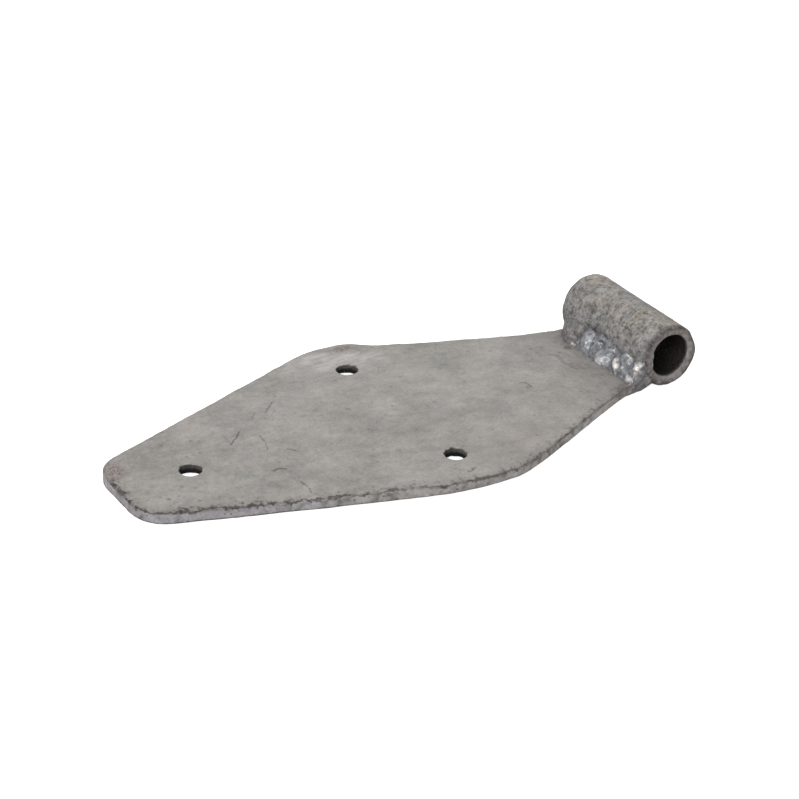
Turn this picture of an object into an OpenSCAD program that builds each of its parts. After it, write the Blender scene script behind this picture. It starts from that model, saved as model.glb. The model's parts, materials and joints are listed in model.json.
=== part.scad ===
// Strap hinge leaf: a flat diamond-shaped strap plate with a plain tube welded across its neck.
// The origin is the centre of the tube's bore. +Y runs along the bore, the strap reaches out
// along -X to its tip, and +Z is the face of the strap that the top weld lies on.
// The plate and the tube rest on one plane, so the plate meets the tube below its axis.

/* [Strap plate] */
// Distance from the tip to the bore's axis
strap_reach = 256; // [240:1:280]
// Thickness of the plate
plate_t = 5; // [4:0.5:8]
// Width across the tip, between the corners before they are rounded
tip_w = 45; // [38:1:56]
// Radius that rounds the two tip corners
tip_r = 16; // [8:1:18]
// Width across the shoulders, between the corners before they are rounded
shoulder_w = 142; // [130:1:160]
// Distance from the tip to the front shoulder, on the -Y side
front_shoulder_x = 143; // [136:1:148]
// Distance from the tip to the back shoulder, on the +Y side
back_shoulder_x = 132; // [128:0.5:140]
// Radius that rounds the front shoulder
front_shoulder_r = 78; // [20:1:80]
// Radius that rounds the back shoulder
back_shoulder_r = 28; // [20:1:80]
// Width of the neck that meets the tube
neck_w = 60; // [52:1:62]
// Distance from the bore's axis to where the front side's slope would meet the neck
front_neck_x = 23; // [20:1:28]
// Distance from the bore's axis to where the back side's slope would meet the neck
back_neck_x = 28; // [20:1:36]
// Radius of the inward curve at the front of the neck
front_neck_r = 46; // [20:1:60]
// Radius of the inward curve at the back of the neck
back_neck_r = 100; // [20:1:120]

/* [Bolt holes] */
// Diameter of the three bolt holes
bolt_hole_d = 10; // [8:0.5:13]
// Distance from the tip to the tip hole
tip_hole_x = 33; // [25:1:45]
// Distance from the tip to the pair of shoulder holes
shoulder_hole_x = 134.5; // [120:0.5:145]
// Distance between the two shoulder holes
shoulder_hole_spacing = 88; // [60:1:90]
// Distance that all three holes sit towards the back of the strap's centre line
hole_offset_y = 1.2; // [0:0.1:2]

/* [Knuckle tube] */
// Outside diameter of the tube
tube_od = 29; // [27:0.5:34]
// Bore of the tube
tube_id = 20; // [16:0.5:22]
// Length of the tube
tube_len = 62; // [60:1:80]
// Width of the break on the tube's end edges
tube_break = 0.6; // [0.2:0.1:1.2]

/* [Welds] */
// Reach of the top weld along the plate and up the tube
top_reach = 9.5; // [7:0.1:10]
// Number of swells along the top weld
top_swells = 6; // [4:1:8]
// Radius of the underside weld
under_r = 3.6; // [2.8:0.1:4]
// Number of swells along the underside weld
under_swells = 9; // [6:1:12]
// Reach of each end weld along the edge of the plate
end_reach = 9; // [7:0.5:10]
// Height of each end weld above the edge of the plate
end_rise = 2; // [1.5:0.1:2.5]

/* [Hidden] */

plate_steel = [0.60, 0.60, 0.58];
tube_steel = [0.55, 0.55, 0.54];
weld_metal = [0.62, 0.63, 0.65];

touch = 0.02;         // clearance between pieces that touch
skim = 0.1;           // the lower welds stay this far above the resting plane
through = 1;          // how far a cutting tool runs past a face
round_fn = 96;
arc_step = 3;         // degrees between the points of a rounded corner
rounded_share = 0.98; // the most of a side that its rounded corners use

tube_r = tube_od / 2;
plate_bottom = -tube_r;
plate_top = plate_bottom + plate_t;
half_tip = tip_w / 2;
half_shoulder = shoulder_w / 2;
half_neck = neck_w / 2;
shoulder_hole_at = shoulder_hole_x - strap_reach;
// The top edge of the plate's square end touches the tube.
plate_end_x = -sqrt(tube_r * tube_r - plate_top * plate_top) - touch;

// Each corner of the plate's outline is [x, y, radius].
strap_corners = [
    [-strap_reach, -half_tip, tip_r],
    [front_shoulder_x - strap_reach, -half_shoulder, front_shoulder_r],
    [-front_neck_x, -half_neck, front_neck_r],
    [plate_end_x, -half_neck, 0],
    [plate_end_x, half_neck, 0],
    [-back_neck_x, half_neck, back_neck_r],
    [back_shoulder_x - strap_reach, half_shoulder, back_shoulder_r],
    [-strap_reach, half_tip, tip_r],
];

function unit(v) = v / norm(v);
function turned(v, a) = [v.x * cos(a) - v.y * sin(a), v.x * sin(a) + v.y * cos(a)];

// The length of a side that an arc may use. Two rounded corners share the side between them.
function room(side, next) = norm(side) * rounded_share * (next.z == 0 ? 1 : 0.5);

// The points that round one corner: an arc tangent to both of its sides, with the corner's
// radius, or a smaller one where the sides are too short for it.
function corner_arc(before, at, after) =
    let (
        corner = [at.x, at.y],
        to_before = [before.x, before.y] - corner,
        to_after = [after.x, after.y] - corner,
        back = unit(to_before),
        ahead = unit(to_after),
        half_angle = acos(back * ahead) / 2,
        longest = min(room(to_before, before), room(to_after, after)),
        radius = min(at.z, longest * tan(half_angle)),
        centre = corner + unit(back + ahead) * radius / sin(half_angle),
        first = corner + back * radius / tan(half_angle) - centre,
        sweep = (180 - 2 * half_angle) * sign(back.y * ahead.x - back.x * ahead.y),
        steps = ceil(abs(sweep) / arc_step)
    )
    at.z == 0 ? [corner] : [for (i = [0:steps]) centre + turned(first, sweep * i / steps)];

// The outline with each of its corners rounded.
function rounded(corners) =
    let (n = len(corners))
    [
        for (i = [0:n - 1])
            for (p = corner_arc(corners[(i + n - 1) % n], corners[i], corners[(i + 1) % n])) p
    ];

module bolt_hole(x, y) {
    translate([x, y, plate_bottom - through])
        cylinder(d = bolt_hole_d, h = plate_t + 2 * through, $fn = round_fn);
}

// A cylinder along the bore's axis, centred on the origin.
module along_bore(d, h) {
    rotate([90, 0, 0]) cylinder(d = d, h = h, center = true, $fn = round_fn);
}

// A row of swells along Y, joined by a round core. The swells differ a little in size,
// as those of a bead that is laid by hand do.
module bead(x, z, r, swells, length) {
    pitch = length / swells;
    core_share = 0.86;
    variation = 0.05;
    phase = 140;
    translate([x, 0, z]) along_bore(2 * r * core_share, length);
    for (i = [0:swells - 1])
        translate([x, (i + 0.5) * pitch - length / 2, z])
            sphere(r = r * (1 - variation + variation * sin(phase * i)), $fn = round_fn);
}

// Leaves the part of a weld that is outside the tube.
module outside_tube() {
    difference() {
        children();
        along_bore(tube_od + 2 * touch, tube_len + 2 * through);
    }
}

module strap_plate() {
    color(plate_steel)
        difference() {
            translate([0, 0, plate_bottom])
                linear_extrude(plate_t) polygon(rounded(strap_corners));
            bolt_hole(tip_hole_x - strap_reach, hole_offset_y);
            for (side = [-1, 1])
                bolt_hole(shoulder_hole_at, hole_offset_y + side * shoulder_hole_spacing / 2);
        }
}

module knuckle_tube() {
    end_y = tube_len / 2;
    bore_r = tube_id / 2;
    color(tube_steel)
        rotate([90, 0, 0])
            rotate_extrude($fn = round_fn)
                polygon([
                    [bore_r + tube_break, -end_y],
                    [tube_r - tube_break, -end_y],
                    [tube_r, tube_break - end_y],
                    [tube_r, end_y - tube_break],
                    [tube_r - tube_break, end_y],
                    [bore_r + tube_break, end_y],
                    [bore_r, end_y - tube_break],
                    [bore_r, tube_break - end_y],
                ]);
}

// Fills the corner between the plate's top face and the tube.
module top_weld() {
    overhang = 0.6;
    weld_len = neck_w + 2 * overhang;
    box_side = 2 * top_reach;
    color(weld_metal)
        outside_tube()
            intersection() {
                bead(plate_end_x, plate_top, top_reach, top_swells, weld_len);
                translate([plate_end_x - box_side, -weld_len / 2, plate_top + touch])
                    cube([2 * box_side, weld_len, box_side]);
            }
}

// Fills the groove between the plate's square end and the underside of the tube.
module underside_weld() {
    groove_x = plate_end_x + touch;
    floor_z = plate_bottom + skim;
    color(weld_metal)
        outside_tube()
            intersection() {
                bead(groove_x + under_r / 3, floor_z + under_r, under_r, under_swells, neck_w);
                translate([groove_x, -half_neck, floor_z])
                    cube([tube_r, neck_w, plate_top - floor_z]);
            }
}

// Wraps one end of the joint: two swells on the edge of the plate, next to the tube.
// side is -1 for the front edge and 1 for the back edge.
module end_weld(side) {
    swell_r = end_reach / 2;
    floor_z = plate_bottom + skim;
    middle_z = (floor_z + plate_top) / 2;
    step_down = 0.85;
    color(weld_metal)
        outside_tube()
            intersection() {
                for (i = [0, 1])
                    translate([
                        plate_end_x - swell_r * (0.5 + i),
                        side * (half_neck + end_rise - swell_r),
                        middle_z,
                    ])
                        sphere(r = swell_r * pow(step_down, i), $fn = round_fn);
                translate([
                    plate_end_x - 2 * end_reach,
                    side > 0 ? half_neck + touch : -half_neck - touch - end_reach,
                    floor_z,
                ])
                    cube([3 * end_reach, end_reach, plate_top - floor_z]);
            }
}

module front_end_weld() { end_weld(-1); }
module back_end_weld() { end_weld(1); }

strap_plate();
knuckle_tube();
top_weld();
underside_weld();
front_end_weld();
back_end_weld();
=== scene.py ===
"""A galvanised strap hinge leaf: a strap plate and a knuckle tube, joined by hand-laid welds.

Every place and size is in millimetres until a mesh is made, which turns it into metres. The
plate's outline, the holes, the tube and the reach of the welds come from the CAD frame.
"""

import functools
import json
import math

import bmesh
import bpy
import numpy as np
from mathutils import Matrix, Vector
from mathutils.geometry import delaunay_2d_cdt


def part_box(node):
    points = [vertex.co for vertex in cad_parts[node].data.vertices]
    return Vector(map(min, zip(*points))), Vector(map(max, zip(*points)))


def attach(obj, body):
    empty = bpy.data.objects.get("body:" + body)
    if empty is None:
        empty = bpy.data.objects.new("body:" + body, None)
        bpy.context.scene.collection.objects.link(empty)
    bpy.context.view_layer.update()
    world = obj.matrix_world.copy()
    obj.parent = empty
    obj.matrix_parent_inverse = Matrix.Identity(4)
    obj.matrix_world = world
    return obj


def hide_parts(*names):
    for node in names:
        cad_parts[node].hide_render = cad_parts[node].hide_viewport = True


MM = 0.001

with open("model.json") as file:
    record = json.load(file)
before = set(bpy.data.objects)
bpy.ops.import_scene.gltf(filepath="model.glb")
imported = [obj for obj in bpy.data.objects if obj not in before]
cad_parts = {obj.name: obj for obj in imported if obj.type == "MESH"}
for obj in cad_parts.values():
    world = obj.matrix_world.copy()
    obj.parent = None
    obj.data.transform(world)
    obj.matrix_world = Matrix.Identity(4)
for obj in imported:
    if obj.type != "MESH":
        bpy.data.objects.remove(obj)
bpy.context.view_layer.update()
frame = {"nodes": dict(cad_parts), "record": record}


# ---------------------------------------------------------------- sizes from the frame

def box_mm(node):
    """The lowest and highest corners of a CAD node, in millimetres."""
    low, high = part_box(node)
    return np.array(low) / MM, np.array(high) / MM


MOUNTS = {mount["name"]: mount for mount in frame["record"]["mounts"]}
PLATE_LOW, PLATE_HIGH = box_mm("strap_plate")
TUBE_LOW, TUBE_HIGH = box_mm("knuckle_tube")
TOP, BOTTOM = PLATE_HIGH[2], PLATE_LOW[2]
THICKNESS = TOP - BOTTOM
PLATE_END = PLATE_HIGH[0]
TUBE_R = (TUBE_HIGH[2] - TUBE_LOW[2]) / 2
TUBE_HALF = (TUBE_HIGH[1] - TUBE_LOW[1]) / 2
BORE_R = MOUNTS["knuckle_bore"]["dims"]["r_mm"]
NECK_HALF = box_mm("underside_weld")[1][1]


def hole_centres():
    """The centres of the three bolt holes, as (x, y)."""
    tip = MOUNTS["tip_bolt_hole"]["pos_m"]
    pair = MOUNTS["shoulder_bolt_holes"]
    spread = pair["dims"]["spacing_y_mm"] / 2
    x, y = pair["pos_m"][0] / MM, pair["pos_m"][1] / MM
    return [(tip[0] / MM, tip[1] / MM), (x, y - spread), (x, y + spread)]


HOLES = hole_centres()
HOLE_R = MOUNTS["tip_bolt_hole"]["dims"]["r_mm"]


# ---------------------------------------------------------------- noise

HASH_STEPS = np.array([73856093, 19349663, 83492791], dtype=np.int64)
HASH_SPREAD = 1274126177
HASH_MASK = 0x7FFFFFFF


def noise(points, size, seed):
    """Smooth noise from -1 to 1 at each point, with features about as wide as size."""
    place = np.asarray(points, float) / size + 31.7 * seed
    cell = np.floor(place).astype(np.int64)
    share = place - cell
    share = share * share * (3 - 2 * share)
    total = np.zeros(len(place))
    for corner in np.ndindex(2, 2, 2):
        key = ((cell + corner) * HASH_STEPS).sum(axis=1) ^ (seed * 7919)
        key = (key ^ (key >> 15)) * HASH_SPREAD & HASH_MASK
        key = (key ^ (key >> 13)) * HASH_SPREAD & HASH_MASK
        value = key / (HASH_MASK / 2) - 1
        total += value * np.where(corner, share, 1 - share).prod(axis=1)
    return total


def rough_noise(points, size, seed, octaves=3, gain=0.5):
    """Several layers of noise, each half the size of the one before."""
    total, strength, most = 0, 1, 0
    for octave in range(octaves):
        total = total + strength * noise(points, size / 2**octave, seed + octave)
        most += strength
        strength *= gain
    return total / most


def smoothstep(low, high, value):
    """0 below low, 1 above high and a smooth rise in between."""
    share = np.clip((value - low) / (high - low), 0, 1)
    return share * share * (3 - 2 * share)


def spot(points, centre, radii, turn, ragged, seed):
    """1 at a centre on the plate and 0 outside an ellipse round it with a ragged edge."""
    away = points[:, :2] - np.array(centre)
    c, s = math.cos(math.radians(turn)), math.sin(math.radians(turn))
    along = away[:, 0] * c + away[:, 1] * s
    across = away[:, 1] * c - away[:, 0] * s
    reach = np.hypot(along / radii[0], across / radii[1])
    reach += ragged * rough_noise(points, min(radii) * 0.7, seed)
    return 1 - smoothstep(0.35, 1.0, reach)


# ---------------------------------------------------------------- meshes

def make_piece(name, points, faces, replaced, marks=None):
    """A smooth-shaded piece on the root body that stands for a CAD node.

    marks is a dict of named numbers, one per point, that the materials read.
    """
    mesh = bpy.data.meshes.new(name)
    mesh.from_pydata(np.asarray(points) * MM, [], faces)
    for mark, values in (marks or {}).items():
        attribute = mesh.attributes.new(mark, "FLOAT", "POINT")
        attribute.data.foreach_set("value", np.asarray(values, np.float32))
    mesh.polygons.foreach_set("use_smooth", np.ones(len(mesh.polygons), bool))
    mesh.validate()
    piece = bpy.data.objects.new(name, mesh)
    bpy.context.scene.collection.objects.link(piece)
    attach(piece, "root")
    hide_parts(replaced)
    return piece


def point_normals(points, faces):
    """The outward normal at each point of a mesh."""
    mesh = bpy.data.meshes.new("normals")
    mesh.from_pydata(points, [], faces)
    normals = np.empty(len(points) * 3, np.float32)
    mesh.vertex_normals.foreach_get("vector", normals)
    bpy.data.meshes.remove(mesh)
    return normals.reshape(-1, 3).astype(float)


def band(first_ring, second_ring):
    """Quads between two closed rings of point numbers."""
    n = len(first_ring)
    return [
        (first_ring[i], first_ring[(i + 1) % n], second_ring[(i + 1) % n], second_ring[i])
        for i in range(n)
    ]


# ---------------------------------------------------------------- strap plate

def top_face_loops(node):
    """The border loops of a CAD node's top face, each as an array of (x, y)."""
    bm = bmesh.new()
    bm.from_mesh(frame["nodes"][node].data)
    bmesh.ops.remove_doubles(bm, verts=bm.verts, dist=1e-6)
    bm.normal_update()
    top_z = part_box(node)[1].z
    flat = {
        face
        for face in bm.faces
        if face.normal.z > 0.9 and all(abs(v.co.z - top_z) < 1e-6 for v in face.verts)
    }
    border = [e for e in bm.edges if sum(face in flat for face in e.link_faces) == 1]
    neighbours = {}
    for edge in border:
        a, b = edge.verts
        neighbours.setdefault(a, []).append(b)
        neighbours.setdefault(b, []).append(a)
    loops = []
    left = dict.fromkeys(neighbours)
    while left:
        point = next(iter(left))
        del left[point]
        loop = [point]
        while True:
            ahead = [v for v in neighbours[point] if v in left]
            if not ahead:
                break
            point = ahead[0]
            del left[point]
            loop.append(point)
        loops.append(np.array([[v.co.x / MM, v.co.y / MM] for v in loop]))
    bm.free()
    return loops


def loop_area(loop):
    """The signed area inside a loop, above 0 when it runs anticlockwise."""
    after = np.roll(loop, -1, axis=0)
    return (loop[:, 0] * after[:, 1] - loop[:, 1] * after[:, 0]).sum() / 2


def evenly_spaced(loop, step):
    """The same closed loop with points about a step apart, its sharp corners eased."""
    easing_passes = 18
    closed = np.vstack([loop, loop[:1]])
    lengths = np.hypot(*np.diff(closed, axis=0).T)
    travelled = np.concatenate([[0], np.cumsum(lengths)])
    count = round(travelled[-1] / step)
    places = np.arange(count) * travelled[-1] / count
    even = np.column_stack([np.interp(places, travelled, closed[:, axis]) for axis in (0, 1)])
    for _ in range(easing_passes):
        even = (np.roll(even, 1, axis=0) + 2 * even + np.roll(even, -1, axis=0)) / 4
    return even


def outward(loop):
    """The outward normal at each point of an anticlockwise loop."""
    along = np.roll(loop, -1, axis=0) - np.roll(loop, 1, axis=0)
    normal = np.column_stack([along[:, 1], -along[:, 0]])
    return normal / np.linalg.norm(normal, axis=1, keepdims=True)


def inside_loop(points, loop):
    """Whether each point is inside a closed loop."""
    inside = np.zeros(len(points), bool)
    x, y = points.T
    for (x1, y1), (x2, y2) in zip(loop, np.roll(loop, -1, axis=0)):
        if y1 == y2:
            continue
        crosses = (y1 > y) != (y2 > y)
        inside ^= crosses & (x < (x2 - x1) * (y - y1) / (y2 - y1) + x1)
    return inside


def nearest(points, others):
    """The distance from each point to the nearest of some other points."""
    best = np.full(len(points), np.inf)
    for start in range(0, len(others), 64):
        part = others[start:start + 64]
        gap = points[:, None, :] - part[None, :, :]
        best = np.minimum(best, (gap**2).sum(axis=2).min(axis=1))
    return np.sqrt(best)


def fill_face(loops, spacing):
    """Triangles across a face inside its outer loop, and outside its holes' loops.

    Returns the extra points that it puts on the face in staggered rows, and the triangles
    over the loops' points and the extra points, in that order.
    """
    rim = np.vstack(loops)
    low, high = rim.min(axis=0), rim.max(axis=0)
    rows = np.arange(low[1], high[1], spacing * math.sqrt(3) / 2)
    columns = np.arange(low[0], high[0], spacing)
    x, y = np.meshgrid(columns, rows)
    x = x + (np.arange(len(rows)) % 2)[:, None] * spacing / 2
    extra = np.column_stack([x.ravel(), y.ravel()])
    extra = extra[on_face(extra, loops) & (nearest(extra, rim) > 0.6 * spacing)]
    points = np.vstack([rim, extra])
    edges = []
    start = 0
    for loop in loops:
        n = len(loop)
        edges += [(start + i, start + (i + 1) % n) for i in range(n)]
        start += n
    inside_only, epsilon = 1, 1e-7
    corners = [Vector(p) for p in points]
    result = delaunay_2d_cdt(corners, edges, [], inside_only, epsilon)
    faces, sources = result[2], result[3]
    source = [s[0] for s in sources]
    faces = np.array([[source[i] for i in face] for face in faces])
    return extra, faces[on_face(points[faces].mean(axis=1), loops)]


def on_face(points, loops):
    """Whether each point is inside the first loop and outside the rest."""
    on = inside_loop(points, loops[0])
    for hole in loops[1:]:
        on &= ~inside_loop(points, hole)
    return on


# Each rim ring is (distance in from the cut edge, drop below the face). The small ledge at
# 0.4 to 0.7 mm is where the zinc over the face breaks from the zinc over the cut edge.
RIM = [
    (1.4, 0), (1.15, 0), (0.9, 0.01), (0.68, 0.03), (0.48, 0.05),
    (0.32, 0.08), (0.18, 0.14), (0.08, 0.24), (0.02, 0.38), (0, 0.55),
]
HOLE_RIM = [(1.0, 0), (0.6, 0.03), (0.35, 0.1), (0.15, 0.25), (0.04, 0.42), (0, 0.65)]
WALL_ROWS = 4
# How thick the zinc is, how much wider the holes are at the bottom, and how much deeper the
# front rim is where it is rolled over.
COAT, HOLE_FLARE, ROLL_OVER = 0.2, 0.8, 1.3
# The edge mark is the distance in from the edge's upper corner, below 0 down the cut wall.
# It stays at this over the underside, so that nothing made for the top's border shows there.
UNDERSIDE_EDGE = -3.0
# The most that the marks for distance from an edge or a hole go to.
FAR = 9.0

# Where the hand-cut sides leave the outline: (x, half width, how far out), by side.
SIDE_WANDER = {
    -1: [(-186, 8, 0.3), (-129, 11, -0.4), (-102, 7, 0.9)],
    1: [(-110, 7, 2.1), (-97, 5, -0.9), (-80, 12, -0.9), (-38, 13, 1.0)],
}


def wall_rings(loop, normal, rim, rise, flare=0.0, rolled=0.0):
    """Rings from the top face, over a cut wall and on to the bottom face.

    rise is 1 where the solid is inside the loop and -1 where it is outside, as at a hole.
    flare is how much the wall draws back by the bottom, as a punched hole's does. rolled is
    how much deeper the top rim is at each point, where the shears rolled it over.
    Returns each ring's points, and how far in and how far down they are.
    """
    wall_drops = np.linspace(rim[-1][1], THICKNESS - rim[-1][1], WALL_ROWS + 2)[1:-1]
    steps = [(inset, drop, 1 + rolled) for inset, drop in rim]
    steps += [(0, drop, 1) for drop in wall_drops]
    steps += [(inset, THICKNESS - drop, 1) for inset, drop in reversed(rim)]
    rings = []
    for inset, drop, scale in steps:
        back = rise * (inset + flare * drop / THICKNESS)
        drop = drop * scale * np.ones(len(loop))
        rings.append((np.column_stack([loop - back * normal, TOP - drop]), inset, drop))
    return rings


def cut_outline():
    """The plate's hand-cut outline and its outward normals."""
    edge_step, back_swell = 0.7, 0.4
    outline = max(top_face_loops("strap_plate"), key=lambda loop: abs(loop_area(loop)))
    if loop_area(outline) < 0:
        outline = outline[::-1]
    outline = evenly_spaced(outline, edge_step)
    normal = outward(outline)
    flat = np.column_stack([outline, np.zeros(len(outline))])
    wander = COAT + 0.16 * noise(flat, 11, 3) + 0.12 * noise(flat, 3.2, 4)
    wander += back_swell * smoothstep(0.2, 0.8, normal[:, 1])
    for side, places in SIDE_WANDER.items():
        for x, half_width, out in places:
            swell = out * np.exp(-((outline[:, 0] - x) / half_width) ** 2)
            wander += swell * smoothstep(0, 0.7, normal[:, 1] * side)
    return outline + normal * wander[:, None], normal


def punched_hole(number, centre):
    """A bolt hole's ragged outline and its outward normals. Its back edge is chipped."""
    around = 72
    angles = np.linspace(0, 2 * math.pi, around, endpoint=False)
    circle = np.column_stack([np.cos(angles), np.sin(angles)])
    backward = circle[:, 1]
    place = np.column_stack([circle * HOLE_R, np.full(around, 40 * number)])
    chips = smoothstep(-0.4, 0.8, noise(place, 1.2, 14)) * smoothstep(-0.1, 0.8, backward)
    ragged = 0.2 * noise(place, 2.6, 11) + 0.14 * noise(place, 1.1, 12) - 0.25
    ragged += 0.15 * smoothstep(0.2, 0.9, backward) + 0.4 * chips
    return np.array(centre) + circle * (HOLE_R + ragged[:, None]), circle


def strap_plate():
    """The plate, with rough cut edges, ragged holes and a slightly uneven zinc coat."""
    spacings = {TOP: 1.15, BOTTOM: 2.2}
    outline, outline_normal = cut_outline()
    rolled = ROLL_OVER * rolled_part(outline)
    loops = [outline]
    walls = [(wall_rings(outline, outline_normal, RIM, 1, rolled=rolled), 1)]
    for number, centre in enumerate(HOLES):
        loop, normal = punched_hole(number, centre)
        loops.append(loop)
        walls.append((wall_rings(loop, normal, HOLE_RIM, -1, flare=HOLE_FLARE), -1))

    # parts holds runs of points, each with how far in, how far down and at a hole it is.
    parts, faces, count = [], [], 0
    borders = {TOP: [], BOTTOM: []}
    for rings, rise in walls:
        numbers = count + np.arange(len(rings) * len(rings[0][0])).reshape(len(rings), -1)
        for above, below in zip(numbers[:-1].tolist(), numbers[1:].tolist()):
            faces += [face[::-rise] for face in band(above, below)]
        parts += [(*ring, float(rise < 0)) for ring in rings]
        borders[TOP].append((rings[0][0][:, :2], numbers[0]))
        borders[BOTTOM].append((rings[-1][0][:, :2], numbers[-1]))
        count += numbers.size
    for z, border in borders.items():
        border_loops, border_numbers = zip(*border)
        extra, triangles = fill_face(border_loops, spacings[z])
        numbers = np.concatenate([*border_numbers, count + np.arange(len(extra))])
        a, b, c = np.vstack([*border_loops, extra])[triangles[0]]
        anticlockwise = np.cross(b - a, c - a) > 0
        if anticlockwise != (z == TOP):
            triangles = triangles[:, ::-1]
        faces += numbers[triangles].tolist()
        parts.append((np.column_stack([extra, np.full(len(extra), z)]), FAR, TOP - z, 0.0))
        count += len(extra)
    points = np.vstack([part[0] for part in parts])
    inset, drop, at_hole = (
        np.concatenate([np.broadcast_to(part[i], len(part[0])) for part in parts])
        for i in (1, 2, 3)
    )
    return finish_plate(points, faces, inset, drop, at_hole, loops)


def rolled_part(points):
    """1 where the front edge's rim is rolled over, from the shoulder to the neck."""
    return smoothstep(-150, -112, points[:, 0]) * (points[:, 1] < 0)


def finish_plate(points, faces, inset, drop, at_hole, loops):
    """Roughens the plate's surface and records what its material needs to know."""
    x, y = points[:, 0], points[:, 1]
    wall_drop = drop * (1 - 0.45 * rolled_part(points))
    side = smoothstep(0.25, 0.7, np.minimum(wall_drop, THICKNESS - drop))
    front = 1 - smoothstep(-12, 8, y - 16 * smoothstep(-244, -253, x))
    lift = plate_lift(points, inset, drop, side, (1 - at_hole) * (0.35 + 0.65 * front))
    rough = points + point_normals(points, faces) * lift[:, None]
    rough[:, 2] += 0.18 * noise(points * [1, 1, 0], 75, 51) - 0.05
    # The front corner of the neck is drawn back where the end weld wraps it.
    ground, ground_width, ground_depth = 1.8, 3, 4
    corner = np.exp(-((x - PLATE_END) / ground_width) ** 2)
    rough[:, 1] += ground * corner * smoothstep(ground_depth - NECK_HALF, -NECK_HALF, y)
    marks = plate_marks(points, inset, drop, at_hole, side, front, loops)
    return make_piece("strap_plate_zinc", rough, faces, "strap_plate", marks)


def plate_lift(points, inset, drop, side, chipped):
    """How far the surface stands out: lumps, rough walls and a broken ledge along the rim."""
    near_rim = (1 - smoothstep(0.5, 1.6, inset)) * (1 - smoothstep(0.5, 1.2, drop))
    ledge = np.exp(-((inset - 0.6) / 0.3) ** 2) * (1 - smoothstep(0.3, 0.5, drop))
    broken = smoothstep(-0.45, 0.25, rough_noise(points, 9, 21)) * chipped
    broken *= 0.6 + 0.5 * noise(points, 2.2, 27)
    near_corner = 1 - smoothstep(1.5, 5, abs(abs(points[:, 1]) - 31))
    near_joint = smoothstep(-46, -26, points[:, 0]) * near_corner
    lift = 0.3 * near_joint * rough_noise(points, 3.4, 37)
    lift += 0.09 * rough_noise(points, 16, 31) + 0.08 * rough_noise(points, 4.5, 35)
    lift += side * (0.16 * rough_noise(points, 5, 41) + 0.12 * noise(points, 1.8, 44))
    lift += near_rim * 0.16 * rough_noise(points, 2.2, 47)
    return lift - 0.45 * ledge * broken


# Marked places on the plate: (strength, centre, radii, turn, raggedness, seed), by mark.
PLATE_SPOTS = {
    "smear": [(1, (-122, 55), (30, 11), -20, 0.35, 61)],
    "stain": [
        (1, (-250.5, 19), (7.5, 11), -8, 0.5, 66),
        (0.4, (-253, -11), (3, 4), 15, 0.35, 67),
        (1, (-112.5, 64), (8, 3.5), -14, 0.35, 74),
    ],
    "pitted": [
        (1, (-196, 12), (9, 12), -30, 0.35, 68),
        (1, (-222, 26), (14, 5), 25, 0.35, 69),
    ],
    "burnt": [(1, (-25, -31), (11, 4), 20, 0.35, 73)],
    "tan": [(1, (-98, -48), (36, 20), 12, 0.35, 75)],
}


def plate_spots(points, mark):
    """How strongly each point of the plate is in one of a mark's places."""
    places = PLATE_SPOTS[mark]
    return np.maximum.reduce([share * spot(points, *place) for share, *place in places])


def plate_marks(points, inset, drop, at_hole, side, front, loops):
    """Where the plate is stained, pitted, smeared or burnt, where painted shade goes by the weld
    and down the holes, and how far its edges are.
    """
    x, flat = points[:, 0], points[:, :2]
    lower_half = drop > THICKNESS / 2
    edge = np.minimum(nearest(flat, loops[0]), FAR) - drop
    edge[at_hole > 0] = FAR
    edge = np.where(lower_half, np.minimum(edge, UNDERSIDE_EDGE), edge)
    hole_gap = np.minimum(nearest(flat, np.vstack(loops[1:])), FAR)
    below_rim = np.where(lower_half, inset, 0)
    # in_hole marks the hole walls, which the material paints dark, near-black at their foot, as
    # painted shade.
    in_hole = at_hole * smoothstep(0.15, THICKNESS, drop) * (1 - smoothstep(0.1, 0.5, below_rim))
    smear = plate_spots(points, "smear") * (1 + 0.5 * noise(points * [0.25, 1, 1], 3.5, 64))
    pitted = np.maximum.reduce([
        plate_spots(points, "pitted"),
        0.7 * smoothstep(0.1, 0.6, rough_noise(points, 26, 70)),
        front * (1 - smoothstep(2, 8, edge)),
    ])
    wall_by_weld = smoothstep(-34, -14, x) * side
    toe = (x + 21) / 7 + 0.5 * rough_noise(points, 4, 72)
    return {
        "burnt": np.maximum(plate_spots(points, "burnt"), wall_by_weld),
        "edge": edge,
        "front": front,
        "hole": in_hole,
        "hole_gap": hole_gap,
        "side": side * (1 - at_hole),
        "smear": np.clip(smear, 0, 1),
        "stain": np.clip(plate_spots(points, "stain"), 0, 1),
        "tan": np.clip(plate_spots(points, "tan"), 0, 1),
        "pitted": np.clip(pitted, 0, 1),
        # near_weld is painted shade on the plate by the weld and its toe.
        "near_weld": 0.45 * smoothstep(-48, -22, x) + 0.55 * smoothstep(-1, 0.4, toe),
    }


# ---------------------------------------------------------------- knuckle tube

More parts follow.
